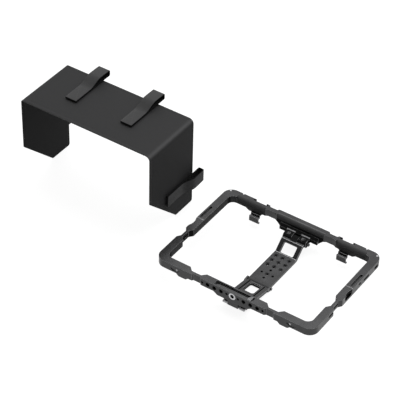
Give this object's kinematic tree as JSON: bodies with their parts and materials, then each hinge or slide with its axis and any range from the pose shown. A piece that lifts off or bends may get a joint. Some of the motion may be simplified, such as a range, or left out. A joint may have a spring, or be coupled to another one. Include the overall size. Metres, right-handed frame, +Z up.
{
  "type": "tablet cage with sun hood",
  "caption": "Black tablet cage: milled ring with threaded holes, cable hooks and a hinged back arm with latch bracket, beside its folding sun hood with hook-and-loop straps.",
  "frame": {"origin": "mouth of the lone threaded socket in the back arm's underside, on the plane that the set stands on", "axes": "+X along the long rails to the right, +Y to the rear rail with the cable hooks, +Z up out of the ring's top face; the hood stands at -X"},
  "size_m": [0.4662, 0.1594, 0.1372],
  "materials": {
    "black_aluminium": "fine bead-blasted and black anodised, matt, with lighter edges",
    "bare_aluminium": "grey, finely machined",
    "steel": "bright machined",
    "bronze": "plain, hidden bush",
    "silicone": "matt",
    "hood_cloth": "matt coated cloth over thin board, with stitched edges",
    "strap_cloth": "hook-and-loop tape, matt"
  },
  "bodies": {
    "frame": {"rear_frame": "black_aluminium", "front_frame": "black_aluminium", "frame_screws": "steel", "socket_insert": "steel", "side_pads": "silicone", "end_pads": "silicone", "cable_hook_left": "black_aluminium", "cable_hook_right": "black_aluminium", "hook_screws": "steel", "hinge_block": "black_aluminium", "hinge_block_screws": "steel", "hinge_pin": "steel", "pin_lock_screws": "steel", "rail_catch": "black_aluminium", "catch_screws": "steel", "corner_screws": "steel", "lens_screws": "steel"},
    "lock": {"lock_bar": "black_aluminium", "lock_tab": "bare_aluminium"},
    "arm": {"support_arm": "black_aluminium", "arm_bush": "bronze", "bracket_pin": "steel"},
    "bracket": {"latch_bracket": "black_aluminium", "latch_lips": "bare_aluminium", "lip_screws": "steel"},
    "hood": {"hood_shell": "hood_cloth", "strap_top_left": "strap_cloth", "strap_top_right": "strap_cloth", "strap_right": "strap_cloth", "strap_left": "strap_cloth", "strap_patches": "strap_cloth"}
  },
  "joints": [
    {"name": "arm_hinge", "type": "hinge", "parent": "frame", "child": "arm", "pos_m": [0, 0.0634, 0.014], "axis": [1, 0, 0], "range_deg": [0, 100]},
    {"name": "bracket_hinge", "type": "hinge", "parent": "arm", "child": "bracket", "pos_m": [0, -0.0181, 0.0022], "axis": [1, 0, 0], "range_deg": [0, 75]},
    {"name": "lock_slide", "type": "slide", "parent": "frame", "child": "lock", "axis": [1, 0, 0], "range_m": [0, 0.002]},
    {"name": "hood_lift", "type": "slide", "parent": "frame", "child": "hood", "axis": [0, 0, 1], "range_m": [0, 0.1]}
  ]
}
